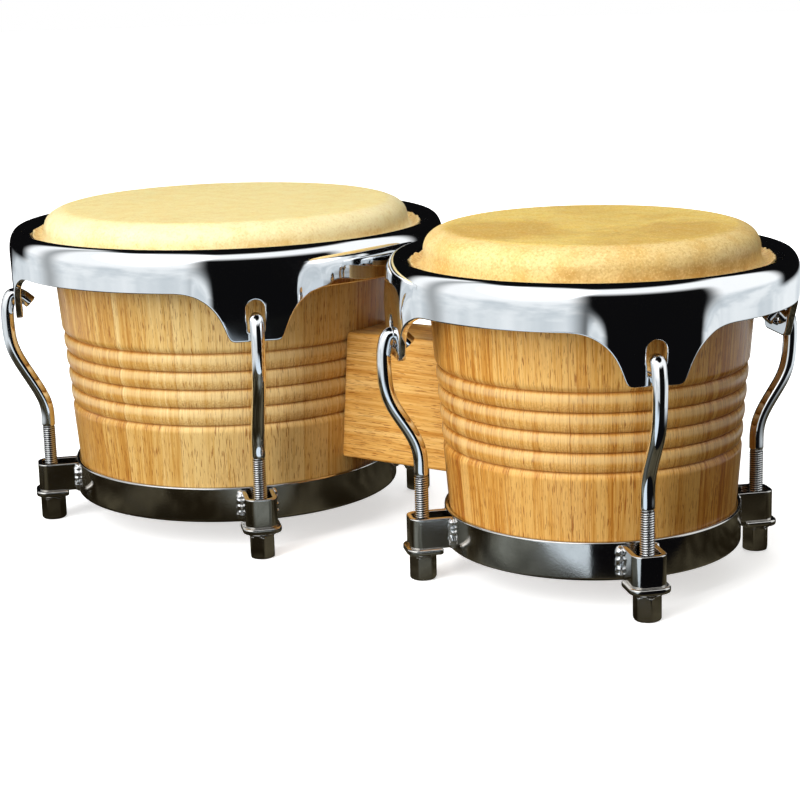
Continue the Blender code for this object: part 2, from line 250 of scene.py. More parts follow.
def extruded(outline, hole, z0, z1, fillet, steps=4):
    """Plate with rounded outer edges from a closed outline, and a hole with as many points."""
    def inset(loop, d):
        t = np.roll(loop, -1, 0) - np.roll(loop, 1, 0)
        t /= np.linalg.norm(t, axis=1)[:, None]
        return loop + d * np.stack([-t[:, 1], t[:, 0]], axis=1)

    angles = [math.pi / 2 * k / steps for k in range(steps + 1)]
    bends = [(fillet * (1 - math.sin(a)), fillet * (1 - math.cos(a))) for a in angles]
    rings = [(hole, z0), (inset(outline, 2.2 * fillet), z0)]
    rings += [(inset(outline, d), z0 + up) for up, d in reversed(bends)]
    rings += [(inset(outline, d), z1 - up) for up, d in bends]
    rings += [(inset(outline, 2.2 * fillet), z1), (hole, z1)]
    pts = np.array([np.column_stack([loop, np.full(len(loop), z)]) for loop, z in rings])
    return grid(pts, True, True)


def add_object(name, data):
    obj = bpy.data.objects.new(name, data)
    bpy.context.scene.collection.objects.link(obj)
    return obj


def solid(name, bodies):
    """One object from closed bodies in mm, with its normals outwards."""
    verts, faces, base = [], [], 0
    for v, f in bodies:
        verts.append(np.asarray(v, float))
        faces += [[i + base for i in face] for face in f]
        base += len(v)
    mesh = bpy.data.meshes.new(name)
    mesh.from_pydata((np.concatenate(verts) * MM).tolist(), [], faces)
    bm = bmesh.new()
    bm.from_mesh(mesh)
    bmesh.ops.recalc_face_normals(bm, faces=bm.faces)
    if bm.calc_volume(signed=True) < 0:
        bmesh.ops.reverse_faces(bm, faces=bm.faces)
    if any(len(e.link_faces) != 2 for e in bm.edges):
        raise RuntimeError(f"{name} isn't closed")
    bm.to_mesh(mesh)
    bm.free()
    return add_object(name, mesh)


def shade(mesh, degrees):
    """Smooth shading, apart from edges sharper than an angle."""
    mesh.shade_smooth()
    mesh.set_sharp_from_angle(angle=math.radians(degrees))


def build(name, bodies, mat, nodes, body="base", centre=0.0, sharp=40.0, blend=None):
    """One piece from closed bodies in mm about a drum axis at X = centre."""
    obj = solid(name, bodies)
    shade(obj.data, sharp)
    obj.data.materials.append(mat)
    obj.location = (centre * MM, 0.0, 0.0)
    if blend:
        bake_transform(obj)
    else:
        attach(obj, body)
    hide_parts(*nodes)
    return obj


def cut(obj, bodies):
    """Exact Boolean difference with closed bodies in mm, in the object's own frame."""
    tool = solid("cutter", bodies)
    tool.matrix_world = obj.matrix_world
    mod = obj.modifiers.new("cut", "BOOLEAN")
    mod.operation, mod.solver, mod.object = "DIFFERENCE", "EXACT", tool
    bpy.context.view_layer.update()
    graph = bpy.context.evaluated_depsgraph_get()
    obj.data = bpy.data.meshes.new_from_object(obj.evaluated_get(graph))
    obj.modifiers.clear()
    bpy.data.objects.remove(tool, do_unlink=True)
    shade(obj.data, 35)


# ---- materials

DOWN = (1.0, 0.0)
BLACK = (0.0, 0.0, 0.0)
WHITE = (1.0, 1.0, 1.0)
WOOD_PALE = (0.88, 0.68, 0.33)
WOOD_LIGHT = (0.77, 0.52, 0.19)
WOOD_MID = (0.62, 0.345, 0.085)
WOOD_DARK = (0.43, 0.19, 0.035)
WOOD_FIBRE = (0.50, 0.215, 0.035)
WOOD_PORE = (0.29, 0.09, 0.012)
RIDGE_SPECK_SHADE = (0.55, 0.25, 0.05)
RIDGE_HIGHLIGHT = (0.90, 0.70, 0.37)
STAVE_CONTRAST = 0.36
FOOT_SHADE = (0.90, 0.86, 0.80)
COLLAR_PALE = (0.86, 0.66, 0.32)
COLLAR_DARK = (0.55, 0.30, 0.09)
THREAD_ROOT_SHADE = (0.030, 0.027, 0.022)


class Nodes:
    """A node material with short calls for what the pieces use."""

    def __init__(self, name):
        self.mat = bpy.data.materials.new(name)
        self.mat.use_nodes = True
        self.tree = self.mat.node_tree
        self.shader = self.tree.nodes["Principled BSDF"]
        self.coord = self.new("TexCoord", {}).outputs["Object"]

    def new(self, kind, inputs, **sets):
        """A node with settings, and with values or links for inputs by name or number."""
        node = self.tree.nodes.new("ShaderNode" + kind)
        for key, value in sets.items():
            setattr(node, key, value)
        for key, value in inputs.items():
            self.put(node.inputs[key], value)
        return node

    def put(self, socket, value):
        """Links a socket or sets its value; a colour is three numbers."""
        if isinstance(value, bpy.types.NodeSocket):
            self.tree.links.new(value, socket)
        else:
            socket.default_value = (*value, 1.0) if socket.type == "RGBA" else value

    def math(self, op, a, b=0.0):
        return self.new("Math", {0: a, 1: b}, operation=op).outputs[0]

    def add(self, a, b):
        return self.math("ADD", a, b)

    def sub(self, a, b):
        return self.math("SUBTRACT", a, b)

    def mul(self, a, b):
        return self.math("MULTIPLY", a, b)

    def centred(self, value, by):
        """A value from 0 to 1 moved to lie about 0, times a number."""
        return self.mul(self.sub(value, 0.5), by)

    def length(self, x, y):
        return self.math("SQRT", self.add(self.mul(x, x), self.mul(y, y)))

    def azimuth(self, x, y):
        """Direction of (x, y) in degrees, from -Y towards +X."""
        return self.mul(self.math("ARCTAN2", x, self.mul(y, -1.0)), 180 / math.pi)

    def within(self, value, low, high, soft):
        """1 between low and high, with soft edges."""
        return self.mul(self.step(value, low - soft, low + soft),
                        self.step(value, high - soft, high + soft, DOWN))

    def step(self, value, low, high, out=(0.0, 1.0)):
        """Smooth step of value from low to high."""
        inputs = {"Value": value, "From Min": low, "From Max": high, "To Min": out[0], "To Max": out[1]}
        return self.new("MapRange", inputs, interpolation_type="SMOOTHSTEP").outputs[0]

    def xyz(self, vector=None):
        return self.new("SeparateXYZ", {0: vector or self.coord}).outputs

    def vector(self, x, y, z):
        return self.new("CombineXYZ", {0: x, 1: y, 2: z}).outputs[0]

    def scaled(self, vector, by, shift=(0.0, 0.0, 0.0)):
        return self.new("Mapping", {"Vector": vector, "Scale": by, "Location": shift}).outputs[0]

    def noise(self, vector, scale=1.0, detail=3.0, rough=0.5, distort=0.0):
        inputs = {"Vector": vector, "Scale": scale, "Detail": detail, "Roughness": rough,
                  "Distortion": distort}
        return self.new("TexNoise", inputs).outputs[0]

    def random(self, value):
        return self.new("TexWhiteNoise", {"W": value}, noise_dimensions="1D").outputs["Value"]

    def ramp(self, value, *stops):
        """Colour from a value by (place, colour) stops."""
        node = self.new("ValToRGB", {0: value})
        marks = node.color_ramp.elements
        while len(marks) < len(stops):
            marks.new(0.5)
        for mark, (where, colour) in zip(marks, stops):
            mark.position = where
            mark.color = (*colour, 1.0)
        return node.outputs[0]

    def mix(self, factor, a, b, kind="MIX"):
        """Mix of two colours, whose sockets are numbers 6 and 7, and the result's is 2."""
        return self.new("Mix", {0: factor, 6: a, 7: b}, data_type="RGBA", blend_type=kind).outputs[2]

    def bump(self, height, distance, strength):
        inputs = {"Height": height, "Distance": distance, "Strength": strength}
        return self.new("Bump", inputs).outputs[0]

    def set(self, **values):
        """Puts the shader's inputs and gives the material."""
        for key, value in values.items():
            self.put(self.shader.inputs[key.replace("_", " ")], value)
        return self.mat


def wood_tone(m, across, along, seed, contrast, dark=0.0):
    """Rubberwood colour and height from coordinates in metres across and along the grain."""
    where = m.vector(across, seed, along)
    wave = m.noise(m.scaled(where, (26, 1, 5)), 1.0, 2.0)
    shifted = m.add(across, m.centred(wave, 0.006))
    bent = m.vector(shifted, seed, along)
    bands = m.noise(m.scaled(bent, (150, 3, 5.0)), 1.0, 3.0, 0.65)
    streaks = m.noise(m.scaled(bent, (640, 5, 16)), 1.0, 4.0, 0.72)
    fibres = m.noise(m.scaled(bent, (2300, 9, 60)), 1.0, 3.0, 0.7)
    pores = m.noise(m.scaled(bent, (2000, 17, 150)), 1.0, 2.0, 0.45)
    dense = m.noise(m.scaled(bent, (70, 2, 16)), 1.0, 2.0)
    tone = m.mul(m.sub(m.add(bands, streaks), 1.0), 0.5 * contrast)
    tone = m.add(m.add(tone, 0.5), dark)
    colour = m.ramp(tone, (0.32, WOOD_PALE), (0.43, WOOD_LIGHT), (0.53, WOOD_MID), (0.66, WOOD_DARK))
    colour = m.mix(m.step(fibres, 0.46, 0.66, (0.0, 0.42)), colour, WOOD_FIBRE)
    limit = m.sub(0.67, m.mul(dense, 0.16))
    pore = m.step(m.sub(pores, limit), 0.0, 0.06)
    colour = m.mix(m.mul(pore, 0.72), colour, WOOD_PORE)
    height = m.sub(m.mul(fibres, 0.25), pore)
    return colour, height


def shell_material(name, seed, staves, contrast, tint):
    """Staves side by side round the axis, with turned ridges and grooves."""
    m = Nodes(name)
    x, y, z = m.xyz()
    angle = m.math("ARCTAN2", y, x)
    turn = m.add(m.mul(angle, staves / TAU), seed)
    stave = m.math("FLOOR", turn)
    inside = m.math("FRACT", turn)
    pick = m.random(stave)
    across = m.add(m.mul(angle, 0.095), m.mul(pick, 3.7))
    colour, height = wood_tone(m, across, z, m.mul(pick, 5.0), contrast,
                               m.centred(pick, STAVE_CONTRAST))
    colour = m.mix(1.0, colour, tint, "MULTIPLY")
    # painted shade: the wall darker below the ridges, where less light falls on it
    foot = m.step(z, (GROOVE_Z0 - 6) * MM, (GROOVE_Z0 + 2) * MM, DOWN)
    colour = m.mix(foot, colour, m.mix(1.0, colour, FOOT_SHADE, "MULTIPLY"))
    # turned ridges cut across the grain: warmer and speckled below, which is end grain laid only on the lower
    # part of each ridge as painted shade, and paler on top of each, a painted highlight
    low, high = (GROOVE_Z0 - 1) * MM, (GROOVE_Z0 + GROOVE_STEP * (GROOVES - 1) + 1) * MM
    band = m.within(z, low, high, MM)
    ridge = m.math("FRACT", m.math("DIVIDE", m.sub(z, GROOVE_Z0 * MM), GROOVE_STEP * MM))
    under = m.step(ridge, 0.25, 0.62, (1.0, 0.25))
    speck = m.noise(m.vector(across, 0.0, z), 900.0, 3.0, 0.7)
    speckled = m.step(speck, 0.40, 0.66, (0.05, 0.62))
    colour = m.mix(m.mul(band, m.mul(under, speckled)), colour, RIDGE_SPECK_SHADE)
    # painted highlight on the top of each ridge
    crest = m.mul(m.step(ridge, 0.42, 0.66), m.step(ridge, 0.80, 0.94, (0.34, 0.0)))
    colour = m.mix(m.mul(band, crest), colour, RIDGE_HIGHLIGHT)
    # painted shade: a dark line along the bottom of each groove
    near = m.math("MINIMUM", ridge, m.sub(1.0, ridge))
    line = m.mul(band, m.step(near, 0.01, 0.11, (0.62, 0.0)))
    colour = m.mix(line, colour, WOOD_PORE)
    # glue lines between staves
    joint = m.math("MINIMUM", inside, m.sub(1.0, inside))
    colour = m.mix(m.step(joint, 0.003, 0.012, (0.35, 0.0)), colour, WOOD_PORE)
    wear = m.noise(m.coord, 28.0, 4.0, 0.6)
    rough = m.step(wear, 0.25, 0.75, (0.27, 0.42))
    return m.set(Base_Color=colour, Roughness=rough, Normal=m.bump(height, 0.00004, 0.5),
                 Specular_IOR_Level=0.32, Coat_Weight=0.18, Coat_Roughness=0.16)


def block_material():
    """The same wood with its grain along X."""
    m = Nodes("block_wood")
    x, y, z = m.xyz()
    across = m.add(z, m.mul(y, 0.55))
    colour, height = wood_tone(m, across, x, m.mul(y, 8.0), 1.1, -0.05)
    colour = m.mix(1.0, colour, (1.0, 0.84, 0.62), "MULTIPLY")
    rough = m.step(m.noise(m.coord, 35.0, 4.0, 0.6), 0.25, 0.75, (0.30, 0.46))
    return m.set(Base_Color=colour, Roughness=rough, Normal=m.bump(height, 0.00004, 0.5),
                 Specular_IOR_Level=0.35, Coat_Weight=0.15, Coat_Roughness=0.2)


def skin_material(name, drum, top, shoulder, stain, amount, speck, pale, dotted, marks=()):
    """Rawhide: coordinates are the row frame's, because the head is baked in place and has no body of its
    own.
    """
    m = Nodes(name)
    local = m.scaled(m.coord, (1, 1, 1), (-drum["x"] * MM, 0, 0))
    x, y, z = m.xyz(local)
    radius = m.length(x, y)
    edge = drum["skin"] * MM
    seed = drum["seed"]
    cloud = m.noise(m.scaled(local, (1, 1, 1), (seed, 0, 0)), 11.0, 4.0, 0.6, 0.6)
    mottle = m.noise(local, 95.0, 5.0, 0.65)
    grain = m.noise(local, 340.0, 5.0, 0.75)
    fibre = m.noise(m.scaled(local, (90, 420, 90)), 1.0, 4.0, 0.7, 1.2)
    tone = m.add(m.mul(mottle, 0.55), m.mul(fibre, 0.45))
    colour = m.mix(m.step(tone, 0.36, 0.66), top[0], top[1])
    blot = m.step(cloud, 0.50, 0.72, (0.0, amount))
    for mark_x, mark_y, size, depth in marks:
        dx, dy = m.sub(x, mark_x * MM), m.sub(y, mark_y * MM)
        reach = m.length(dx, dy)
        reach = m.add(reach, m.centred(cloud, 0.11))
        reach = m.add(reach, m.centred(mottle, 0.05))
        blot = m.math("MAXIMUM", blot, m.step(reach, 0.2 * size * MM, size * MM, (depth, 0.0)))
    colour = m.mix(blot, colour, stain)
    side = m.step(radius, edge - 0.0135, edge - 0.0085)
    paler = m.mix(m.step(m.noise(m.scaled(local, (1, 1, 0.4)), 60.0, 4.0, 0.65), 0.38, 0.70),
                  shoulder[0], shoulder[1])
    colour = m.mix(m.mul(side, 0.85), colour, paler)
    low = m.step(z, 0.1755, 0.1795, DOWN)
    patches = m.noise(m.scaled(local, (1, 1, 1), (0, seed, 0)), 38.0, 4.0, 0.6)
    patchy = m.step(patches, 0.46, 0.66, (0.0, 0.6))
    colour = m.mix(m.mul(low, patchy), colour, stain)
    collar = m.step(radius, edge + 0.0006, edge + 0.0035)
    ragged = m.mix(m.step(m.noise(local, 330.0, 4.0, 0.7), 0.35, 0.65), COLLAR_PALE, COLLAR_DARK)
    colour = m.mix(m.mul(collar, 0.9), colour, ragged)
    colour = m.mix(m.step(grain, 0.50, 0.66, (0.0, 0.42)), colour, speck)
    colour = m.mix(m.step(grain, 0.34, 0.46, (0.30, 0.0)), colour, pale)
    dots = m.noise(local, 880.0, 2.0, 0.6)
    colour = m.mix(m.step(dots, 0.52, 0.68, (0.0, dotted)), colour, speck)
    colour = m.mix(m.step(dots, 0.32, 0.46, (dotted, 0.0)), colour, pale)
    rough = m.step(mottle, 0.3, 0.7, (0.38, 0.55))
    height = m.add(m.mul(tone, 0.7), m.mul(grain, 0.3))
    return m.set(Base_Color=colour, Roughness=rough, Normal=m.bump(height, 0.00025, 0.8),
                 Subsurface_Weight=0.12, Subsurface_Radius=(0.004, 0.002, 0.0008),
                 Coat_Weight=0.12, Coat_Roughness=0.3)


def metal_material(name, colour, rough, wobble=0.0002, pits=0.0, thread=False, clouds=0.10):
    """Metal with cloudy smears, a slight waviness, and pits or painted shade in a thread's roots if asked
    for.
    """
    m = Nodes(name)
    smear = m.noise(m.coord, 34.0, 5.0, 0.65, 0.4)
    base = m.mix(m.step(smear, 0.3, 0.75, (0.0, clouds)), colour, tuple(0.72 * c for c in colour))
    rough_out = m.step(smear, 0.25, 0.8, rough)
    if thread:
        low = m.step(m.xyz()[2], (THREAD_TOP - 0.3) * MM, (THREAD_TOP + 0.3) * MM, DOWN)
        rough_out = m.add(rough_out, m.mul(low, 0.14))
        # painted shade, darkest in the thread's roots
        root = m.new("Attribute", {}, attribute_name="thread_root").outputs["Fac"]
        base = m.mix(m.mul(low, root), base, THREAD_ROOT_SHADE)
    height = m.noise(m.coord, 19.0, 1.0)
    if pits:
        fine = m.noise(m.coord, 900.0, 3.0, 0.6)
        base = m.mix(m.mul(m.step(fine, 0.62, 0.74), pits), base, tuple(0.35 * c for c in colour))
        height = m.sub(height, m.mul(fine, 0.2 * pits))
    return m.set(Base_Color=base, Metallic=1.0, Roughness=rough_out, Normal=m.bump(height, wobble, 0.5))


# ---- turned pieces

def wander(*point):
    """Smooth noise about 0 at a point."""
    return noise.noise(Vector(point))


def shell_radius(drum, z):
    return min(drum["base"] + SHELL_TAPER * (z - SHELL_Z[0]), drum["skin"] - BEARING_INSET)


def shell_inner(drum, z):
    return drum["base"] - SHELL_WALL + SHELL_TAPER * (z - SHELL_Z[0])


def shell_body(drum):
    """Tapered wall with five V grooves and full, rounded ridges between them."""
    z0, z1 = SHELL_Z
    grooves = [GROOVE_Z0 + i * GROOVE_STEP for i in range(GROOVES)]
    heights = list(np.linspace(z0 + 1.0, grooves[0] - 5.0, 14))
    near = [0.0, 0.12, 0.35, 0.8, 1.5, 2.4, 3.4, 4.4]
    for i, g in enumerate(grooves):
        heights += [g - d for d in near[:0:-1]] + [g + d for d in near]
        if i < GROOVES - 1:
            heights.append(g + GROOVE_STEP / 2)
    heights += list(np.linspace(grooves[-1] + 5.5, z1 - 6.0, 16))

    def depth(z):
        if grooves[0] <= z <= grooves[-1]:
            t = abs(2 * (((z - grooves[0]) / GROOVE_STEP) % 1.0) - 1)
            return 0.1 + 2.4 * (1 - math.sqrt(1 - (0.985 * t) ** 2))
        d = grooves[0] - z if z < grooves[0] else z - grooves[-1]
        return 2.1 * max(0.0, 1 - d / 3.6) ** 1.7

    outer = [(shell_radius(drum, z) - depth(z), z) for z in heights]
    top = shell_radius(drum, z1)
    crown = rounded([(top, z1 - 6.0), (top - 0.6, z1 - 2.6), (top - 4.0, z1), (top - 11.0, z1 - 0.3),
                     (shell_inner(drum, 160.0), 168.0)], [0, 3, 4, 4, 0], 5, False)[1:]
    inner = [(shell_inner(drum, z), z) for z in np.linspace(160.0, z0 + 1.2, 12)]
    foot = rounded([(shell_inner(drum, z0), z0 + 1.2), (shell_inner(drum, z0), z0),
                    (shell_radius(drum, z0), z0), (shell_radius(drum, z0), z0 + 1.0)],
                   [0, 0.9, 0.9, 0], 3, False)[1:-1]
    outline = np.concatenate([outer, crown, inner, foot])
    return lathe(outline, 288)


def shell_bores(drum):
    """The bolt bores, with a flat seat for each washer inside the wall."""
    out = []
    for z in BOLT_Z:
        seat = shell_inner(drum, z) + SEAT_DEPTH
        profile = ((SEAT_R, seat - 12.0), (SEAT_R, seat),
                   (BOLT_BORE_R, seat + 0.01), (BOLT_BORE_R, seat + 30.0))
        rows = turned(profile, around(40))[:, :, [2, 0, 1]]
        out.append(moved(lofted(rows), drum["turn"], (0.0, 0.0, z)))
    return out


def ring_body(drum):
    z0, z1 = RING_Z
    out, lip = drum["ring"], drum["base"] - 8.0
    wall = shell_radius(drum, z1) + 0.4
    foot = shell_radius(drum, LEDGE_Z) + 0.4
    outline = [(out, z0), (out, z1), (wall, z1), (foot, LEDGE_Z), (lip, LEDGE_Z), (lip, z0)]
    return lathe(supported(rounded(outline, [1.5, 1.3, 0.5, 0.5, 0.8, 0.8], 6), 0.4), 320)


def hoop_body(drum):
    r, z = drum["skin"] + 3.1, drum["edge"] + 6.2
    a = around(28)
    return lathe(np.stack([r + HOOP_R * np.cos(a), z + HOOP_R * np.sin(a)], axis=1), 256)


def skin_body(drum):
    """Head with a flat face, a rounded shoulder and a frayed collar inside the rim."""
    r, d, seed = drum["skin"], drum["drop"], drum["seed"]
    face = np.stack([np.concatenate([np.linspace(6.0, r - 16.0, 24), [r - 13.6, r - 12.4]]),
                     np.concatenate([np.full(24, SKIN_TOP), [SKIN_TOP - 0.02, SKIN_TOP - 0.12]])], axis=1)
    shoulder = spline([(r - 11.4, 186.85), (r - 8.6, 186.1), (r - 5.4, 184.6), (r - 2.6, 182.3),
                       (r - 0.9, 179.4), (r - 0.15, 176.2), (r + 0.1, 173.8 + d), (r + 0.8, 172.0 + d),
                       (r + 2.0, 171.3 + d)], 34)
    collar = spline(np.array([(3.2, 171.4), (4.8, 172.4), (6.1, 173.4), (6.8, 173.0), (6.5, 171.6),
                              (5.4, 169.4), (4.1, 167.5), (3.6, 166.0)]) + (r, d), 26)
    wrap = spline(np.array([(3.6, 165.0), (4.6, 163.3), (6.4, 162.0), (7.4, 159.4), (7.0, 156.0),
                            (6.5, 155.2), (6.0, 156.0), (6.0, 159.2), (4.9, 161.4), (3.1, 162.1),
                            (1.1, 161.3), (0.2, 159.2), (0.1, 156.0), (-1.0, 155.1),
                            (-1.9, 156.0)]) + (r, d), 44)
    under = spline([(r - 2.0, 160.0), (r - 2.0, 172.0), (r - 2.1, 178.0), (r - 3.6, 182.0),
                    (r - 8.5, 184.6), (r - 13.5, SKIN_UNDER)], 22)
    inside = np.stack([np.linspace(r - 16.0, 6.0, 12), np.full(12, SKIN_UNDER)], axis=1)
    outline = np.concatenate([face, shoulder, collar, wrap, under, inside])
    first = len(face) + len(shoulder)
    last = first + len(collar)
    seg = 384
    weight = np.zeros(len(outline))
    weight[first:last] = np.sin(np.linspace(0, math.pi, last - first)) ** 0.8
    puff = np.zeros(len(outline))
    puff[len(face):first] = np.sin(np.linspace(0, math.pi, len(shoulder)))
    pts = []
    for a in around(seg):
        c, s = math.cos(a), math.sin(a)
        coarse = wander(c * 6, s * 6, seed)
        ragged = wander(c * 26, s * 26, seed + 5) + 0.7 * wander(c * 60, s * 60, seed)
        soft = 0.22 * wander(c * 3.5, s * 3.5, seed + 9)
        radius = outline[:, 0] + weight * (1.1 * ragged + 0.9 * coarse) * 0.8 + puff * soft
        height = outline[:, 1] + weight * (0.9 * ragged + 0.6 * coarse) * 0.9 + puff * soft
        pts.append(np.stack([radius * c, radius * s, height], axis=1))
    verts, faces = grid(np.array(pts), True, False)
    # close the face and the underside at the axis
    count, cols = len(verts), len(outline)
    verts = np.concatenate([verts, [[0, 0, SKIN_TOP], [0, 0, SKIN_UNDER]]])
    for k in range(seg):
        a, b = k * cols, ((k + 1) % seg) * cols
        faces.append([count, a, b])
        faces.append([count + 1, b + cols - 1, a + cols - 1])
    return verts, faces


# ---- pressed rims

EAR_FOOT = -27.3
EAR_FOOT_HALF = 11.0
EAR_END = 44.0
BAND_Z = 5.5
EAR_SIDE = ((11.5, EAR_FOOT), (13.5, -26.6), (15.0, -24.7), (16.3, -21.5), (18.8, -15.4),
            (22.4, -9.6), (26.8, -5.3), (32.3, -2.2), (38.0, -0.55), (EAR_END, 0.0))
RIM_SECTION = ((-0.2, BAND_Z), (-0.03, 9.5), (-0.12, 13.5), (-0.75, 17.6), (-2.3, 21.1), (-4.5, 23.2),
               (-6.6, 23.3), (-8.6, 21.7), (-11.2, 17.9), (-13.6, 14.4), (-15.1, 12.6), (-15.65, 12.25),
               (-15.85, 11.75), (-15.6, 11.3), (-15.0, 11.2), (-13.8, 12.0), (-12.2, 13.7), (-9.8, 17.2),
               (-7.8, 20.0), (-6.2, 20.9), (-4.9, 19.7), (-4.3, 16.8), (-4.1, 12.0), (-4.1, BAND_Z))
SLOT_WIDE = 5.2
SLOT_MID = -9.4
SLOT_FOOT = ((SLOT_WIDE, SLOT_MID), (SLOT_WIDE, -15.0), (4.55, -17.5), (4.55, -22.3), (0.0, -22.3))
EDGE_FILLET = 0.65
# columns each side of an ear's middle: those that meet the slot, the flare, and the plain band
SLIT = 24
FLARE = 46
PLAIN = 20


def nearest(points, line):
    """Distance from each point to an open or closed line of points."""
    a, b = line[:-1], line[1:]
    ab = b - a
    size = np.maximum((ab ** 2).sum(1), 1e-12)
    out = np.empty(len(points))
    for i in range(0, len(points), 2000):
        p = points[i:i + 2000, None, :]
        t = np.clip(((p - a) * ab).sum(2) / size, 0, 1)
        out[i:i + 2000] = np.sqrt((((a + t[..., None] * ab) - p) ** 2).sum(2)).min(1)
    return out


def smooth(x, low, high):
    t = np.clip((x - low) / (high - low), 0, 1)
    return t * t * (3 - 2 * t)


def between(a, b, near, middle):
    """Rows of points from a to b, close together at both ends."""
    size = np.linalg.norm(b - a)
    k = min(1.0, size / (2.6 * near[-1]))
    first, last = near * k, size - near[::-1] * k
    where = np.concatenate([first, np.linspace(first[-1], last[0], middle + 2)[1:-1], last])
    return a + (b - a) * (where / size)[:, None]


def rim_body(drum):
    """Pressed rim: one sheet with four flat ears, each with a keyhole slot, all edges rolled."""
    big, edge = drum["rim"], drum["edge"]
    mean = big - 1.6
    reach = mean * math.pi / 4
    flank = spline(EAR_SIDE, 400)
    side = resample(np.concatenate([[[EAR_FOOT_HALF, EAR_FOOT]], flank]), FLARE + 1)
    top_s = np.concatenate([np.linspace(0, 12, SLIT + 1), np.linspace(12, EAR_END, FLARE + 1)[1:],
                            np.linspace(EAR_END, reach, PLAIN + 1)[1:]])
    under = np.stack([np.linspace(0, EAR_FOOT_HALF, SLIT + 1), np.full(SLIT + 1, EAR_FOOT)], axis=1)
    plain = np.stack([top_s[SLIT + FLARE + 1:], np.zeros(PLAIN)], axis=1)
    low = np.concatenate([under, side[1:], plain])
    high = np.stack([top_s, np.full(len(top_s), BAND_Z)], axis=1)
    # the slot's outline, from its side down to the foot and up to the top
    foot = resample(rounded(SLOT_FOOT, [0, 2.0, 2.0, 1.6, 0], 8, False), SLIT + 1)[::-1]
    turn = np.linspace(math.pi / 2, 0.0, SLIT + 1)
    head = np.stack([SLOT_WIDE * np.cos(turn), SLOT_MID + SLOT_WIDE * np.sin(turn)], axis=1)
    share = (SLOT_MID - EAR_FOOT) / (BAND_Z - EAR_FOOT)
    rest = low[SLIT:] + share * (high[SLIT:] - low[SLIT:])
    steps = np.array([0.0, 0.03, 0.12, 0.27, 0.45, 0.65, 1.0, 2.0, 3.6, 5.6, 8.0, 10.8])
    rest[:len(steps), 0] = SLOT_WIDE + steps
    rest[:len(steps), 1] = SLOT_MID + steps / 13.9 * (rest[12, 1] - SLOT_MID)
    middle_low = np.concatenate([foot[:-1], rest])
    middle_high = np.concatenate([head[:-1], rest])
    near = EDGE_FILLET * np.array([0.0, 0.05, 0.19, 0.41, 0.69, 1.0, 1.5])
    lower = np.array([between(a, b, near, 7) for a, b in zip(low, middle_low)])
    upper = np.array([between(a, b, near, 5) for a, b in zip(middle_high, high)])
    loop = np.concatenate([head, foot[::-1][1:], (foot * [-1, 1])[1:], (head * [-1, 1])[::-1][1:]])
    fine_low = np.concatenate([[[0, EAR_FOOT], [EAR_FOOT_HALF, EAR_FOOT]], flank, [[reach + 5, 0.0]]])
    fine_low = np.concatenate([fine_low[::-1] * [-1, 1], fine_low[1:]])

    def lift(sz, inner):
        """(arc, z) points to radius, with the ears flat and the edges rolled."""
        s, z = sz[..., 0], sz[..., 1]
        flat = np.stack([s.ravel(), z.ravel()], axis=1)
        d = np.minimum(nearest(flat, fine_low), nearest(flat, loop)).reshape(s.shape)
        roll = EDGE_FILLET - np.sqrt(np.maximum(
            EDGE_FILLET ** 2 - (EDGE_FILLET - np.minimum(d, EDGE_FILLET)) ** 2, 0))
        r = big - 0.2 - 0.043 * (BAND_Z - z) + flatness(s, z)
        return r - RIM_WALL + roll if inner else r - roll

    def flatness(s, z):
        bulge = s ** 2 / (2 * mean) * (1 - smooth(np.abs(s), 14.0, 34.0))
        return bulge * (1 - smooth(z, -3.0, 15.0))

    section = spline(RIM_SECTION, 92)
    half = len(top_s)
    columns = [(-1, i) for i in range(half - 1, 0, -1)] + [(1, i) for i in range(half - 1)]
    verts, faces = [], []

    def add(angle, radius, z):
        verts.append((radius * math.cos(angle), radius * math.sin(angle), edge + z))
        return len(verts) - 1

    def strip(p, q):
        faces.extend([p[j], q[j], q[j + 1], p[j + 1]] for j in range(len(p) - 1))

    r_low = {inner: lift(lower, inner) for inner in (False, True)}
    r_up = {inner: lift(upper, inner) for inner in (False, True)}
    sheets = []
    for centre in LUG_ANGLES:
        mid = math.radians(centre)
        for sign, i in columns:
            col = {"i": i}
            for inner in (False, True):
                a = [add(mid + sign * s / mean, r, z) for (s, z), r in zip(lower[i], r_low[inner][i])]
                joined = i >= SLIT
                b = [a[-1]] if joined else []
                b += [add(mid + sign * s / mean, r, z)
                      for (s, z), r in zip(upper[i][joined:], r_up[inner][i][joined:])]
                col[inner] = (a, b)
            s = top_s[i]
            crest = [add(mid + sign * s / mean, big + x + flatness(s, z) * smooth(x, -10.0, -5.0), z)
                     for x, z in section[1:-1]]
            col["section"] = [col[False][1][-1]] + crest + [col[True][1][-1]]
            sheets.append(col)
    for a, b in zip(sheets, sheets[1:] + sheets[:1]):
        for inner in (False, True):
            for part in (0, 1):
                strip(a[inner][part], b[inner][part])
        strip(a["section"], b["section"])
        hems = [(0, 0)]
        if a["i"] <= SLIT and b["i"] <= SLIT:
            hems += [(0, -1), (1, 0)]
        for part, end in hems:
            outer, inner = (a[False], b[False]), (b[True], a[True])
            faces.append([col[part][end] for col in outer + inner])
    return np.array(verts), faces


# ---- tuning hardware

